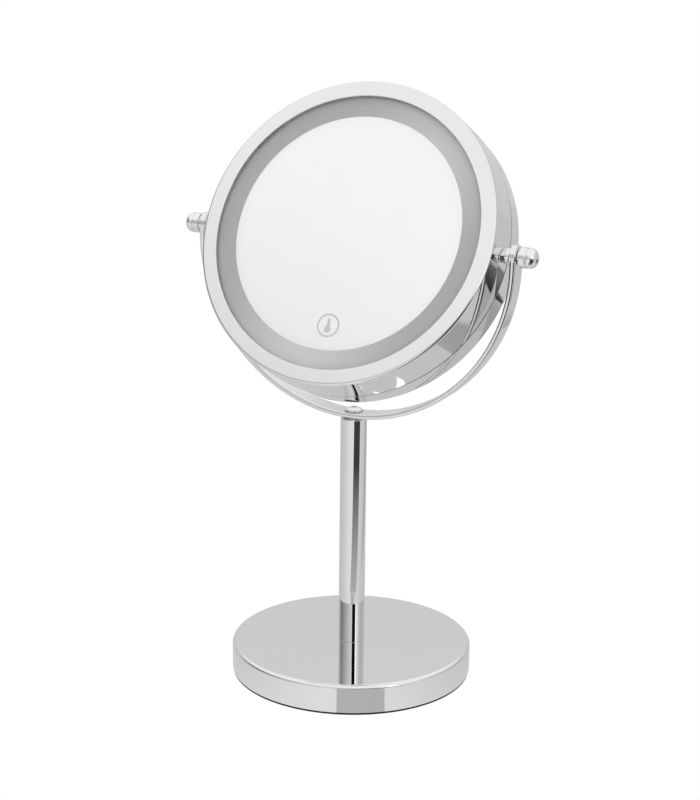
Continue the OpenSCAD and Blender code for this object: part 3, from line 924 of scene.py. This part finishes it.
FLOOR_SIZE = 6.0
FLOOR_DROP = 0.0003         # how far the tabletop lies under the foot, so that the two never share a face
FLOOR_LIGHT = (0.62, 0.25)  # at its dimmest, and how much brighter it gets
FLOOR_FRONT = 20            # where the tabletop is brightest
SHADE = (160, 200)          # the shaded floor behind
SHADE_SPOT = (0.151, 0.0)
SHADE_REACH = (0.10, 0.50)  # where it begins and ends
SHADE_DEPTH = 0.24
DOOR = (115, 148.5)         # dark end of the studio behind, on the right
DOOR_REACH = (0.56, 1.6)    # where it begins and ends
STREAK = (0.096, 0.103)     # light that the polished base throws on the floor behind it
STREAK_SIDE = 172
STREAK_LIGHT = 1.6
OPENING = (36, 90)          # the dark opening in front, where the studio has no white
OPENING_SPOT = (-0.028, 0.060)
SHEET = (13, 58)            # the grey end of the tabletop between the base and the opening
SHEET_SPOT = (0.0154, 0.032)
SHEET_END = 0.125           # how far it reaches from the column
SHEET_LIGHT = 0.52

FLAG = (44.5, 0.086)        # heading of a small black flag, and how far it stands from the column
FLAG_SIZE = (0.042, 0.066)  # width and height
FLAG_LOW = 0.022            # height of its lower edge over the table
FLAG_LIGHT = 0.003


def heading(tree, vector):
    """The heading of a direction or place, and its three parts."""
    parts = add(tree, "SeparateXYZ", Vector=vector).outputs
    return math_node(tree, "ARCTAN2", parts[0], math_node(tree, "MULTIPLY", parts[1], -1.0)), parts


def round_spot(tree, spot):
    """Heading and distance of a point of the floor, as seen from a spot on it."""
    moved = add(tree, "VectorMath", {"operation": "SUBTRACT"}, i0=position(tree), i1=(spot[0], -spot[1], 0))
    distance = add(tree, "VectorMath", {"operation": "LENGTH"}, i0=moved.outputs[0]).outputs["Value"]
    return heading(tree, moved.outputs[0])[0], distance


def within(tree, value, limits, soft):
    """1 between two limits and 0 outside, with soft edges."""
    rise = spread(tree, value, 0.0, 1.0, limits[0] - soft, limits[0] + soft, smooth=True)
    fall = spread(tree, value, 1.0, 0.0, limits[1] - soft, limits[1] + soft, smooth=True)
    return math_node(tree, "MULTIPLY", rise, fall)


def between(tree, factor, a, b):
    """A value that goes from a to b."""
    return add(tree, "Mix", {"data_type": "FLOAT"}, i0=factor, i2=a, i3=b).outputs[0]


def from_degrees(limits):
    """The same limits in radians."""
    return [math.radians(angle) for angle in limits]


def white_to_camera(tree, kind, light):
    """Plain white where the camera looks straight at it, and its own light everywhere else."""
    own = add(tree, kind, Color=WHITE, Strength=light)
    seen = add(tree, kind, Color=WHITE, Strength=1.0)
    rays = add(tree, "LightPath").outputs
    return add(tree, "MixShader", i0=rays["Is Camera Ray"], i1=own.outputs[0], i2=seen.outputs[0]).outputs[0]


def make_world():
    """Soft studio: white overhead, grey behind, darker to the left, and one softbox in front."""
    world = bpy.data.worlds.new("studio")
    world.use_nodes = True
    bpy.context.scene.world = world
    tree = world.node_tree
    tree.nodes.clear()
    angle, parts = heading(tree, add(tree, "TexCoord").outputs["Generated"])
    ahead = spread(tree, toward(tree, angle, 0), 0.0, 1.0, -0.4, 0.3, smooth=True)
    swing = math_node(tree, "MULTIPLY", toward(tree, angle, BRIGHT_WALL[0]), BRIGHT_WALL[1])
    low = math_node(tree, "MULTIPLY_ADD", swing, ahead, WALL_LIGHT)
    back = math_node(tree, "MAXIMUM", toward(tree, angle, BACK_LIGHT[0]), 0.0)
    low = math_node(tree, "MULTIPLY_ADD", math_node(tree, "POWER", back, 2.0), BACK_LIGHT[1], low)
    low = between(tree, within(tree, angle, from_degrees(SOFTBOX), math.radians(1)), low, SOFTBOX_LIGHT)
    light = between(tree, spread(tree, parts[2], 0.0, 1.0, 0.35, 0.65, smooth=True), low, 1.0)
    foot = math_node(tree, "MULTIPLY", within(tree, angle, from_degrees(SKIRTING), math.radians(1)),
                     spread(tree, parts[2], 1.0, 0.0, 0.10, 0.13))
    light = between(tree, foot, light, SKIRTING_LIGHT)
    add(tree, "OutputWorld", Surface=white_to_camera(tree, "Background", light))


def floor_light(tree):
    """What the tabletop sends into reflections."""
    angle, distance = round_spot(tree, (0, 0))
    facing = spread(tree, toward(tree, angle, FLOOR_FRONT), 0.0, 1.0, -1.0, 1.0)
    dimmest, more = FLOOR_LIGHT
    light = math_node(tree, "MULTIPLY_ADD", math_node(tree, "POWER", facing, 2.5), more, dimmest)

    turn, away = round_spot(tree, SHADE_SPOT)
    shade = math_node(tree, "MULTIPLY", within(tree, turn, from_degrees(SHADE), math.radians(1.5)),
                      within(tree, away, SHADE_REACH, 0.08))
    light = math_node(tree, "MULTIPLY_ADD", shade, -SHADE_DEPTH, light)

    door = math_node(tree, "MULTIPLY", within(tree, angle, from_degrees(DOOR), math.radians(0.5)),
                     within(tree, distance, DOOR_REACH, 0.01))
    light = between(tree, door, light, spread(tree, distance, 0.03, 0.20, DOOR_REACH[0], 0.80))

    behind = spread(tree, toward(tree, angle, STREAK_SIDE), 0.0, 1.0, 0.94, 0.96)
    streak = math_node(tree, "MULTIPLY", behind, within(tree, distance, STREAK, 0.001))
    light = between(tree, streak, light, STREAK_LIGHT)

    past = spread(tree, distance, 0.0, 1.0, SHEET_END, SHEET_END + 0.01)
    turn, away = round_spot(tree, OPENING_SPOT)
    opening = math_node(tree, "MULTIPLY", within(tree, turn, from_degrees(OPENING), math.radians(1)), past)
    light = between(tree, opening, light, spread(tree, distance, 0.50, 0.05, SHEET_END, 0.40))

    turn, away = round_spot(tree, SHEET_SPOT)
    sheet = within(tree, turn, from_degrees(SHEET), math.radians(1))
    near = math_node(tree, "SUBTRACT", 1.0, past)
    return between(tree, math_node(tree, "MULTIPLY", sheet, near), light, SHEET_LIGHT)


def make_floor():
    """A pale tabletop."""
    bm = bmesh.new()
    bmesh.ops.create_circle(bm, cap_ends=True, segments=96, radius=FLOOR_SIZE)
    mesh = bpy.data.meshes.new("floor")
    bm.to_mesh(mesh)
    bm.free()
    floor = bpy.data.objects.new("floor", mesh)
    floor.location.z = -FLOOR_DROP
    bpy.context.scene.collection.objects.link(floor)
    made = bpy.data.materials.new("tabletop")
    made.use_nodes = True
    tree = made.node_tree
    tree.nodes.clear()
    add(tree, "OutputMaterial", Surface=white_to_camera(tree, "Emission", floor_light(tree)))
    mesh.materials.append(made)


def make_flag():
    """A small black flag beside the base; only light that the polished parts pass on twice meets it."""
    turn, away = math.radians(FLAG[0]), FLAG[1]
    out = Vector((math.sin(turn), -math.cos(turn), 0))
    across = Vector((math.cos(turn), math.sin(turn), 0)) * FLAG_SIZE[0] / 2
    corners = ((-1, 0), (1, 0), (1, FLAG_SIZE[1]), (-1, FLAG_SIZE[1]))
    bm = bmesh.new()
    bm.faces.new([bm.verts.new(out * away + across * side + Vector((0, 0, FLAG_LOW + high)))
                  for side, high in corners])
    mesh = bpy.data.meshes.new("flag")
    bm.to_mesh(mesh)
    bm.free()
    flag = bpy.data.objects.new("flag", mesh)
    bpy.context.scene.collection.objects.link(flag)
    flag.visible_camera = False
    flag.visible_shadow = False
    flag.visible_diffuse = False
    made = bpy.data.materials.new("black_felt")
    made.use_nodes = True
    tree = made.node_tree
    tree.nodes.clear()
    passed_on = math_node(tree, "GREATER_THAN", add(tree, "LightPath").outputs["Glossy Depth"], 1.5)
    clear = add(tree, "BsdfTransparent").outputs[0]
    felt = add(tree, "Emission", Color=WHITE, Strength=FLAG_LIGHT).outputs[0]
    mix = add(tree, "MixShader", i0=passed_on, i1=clear, i2=felt)
    add(tree, "OutputMaterial", Surface=mix.outputs[0])
    mesh.materials.append(made)


make_world()
make_floor()
make_flag()
bpy.context.scene.view_settings.view_transform = "Standard"

MATERIALS = make_materials()
build_stand(MATERIALS)
build_head(MATERIALS)
build_rear_cover(MATERIALS)
build_knobs(MATERIALS)
dress_frame(MATERIALS)
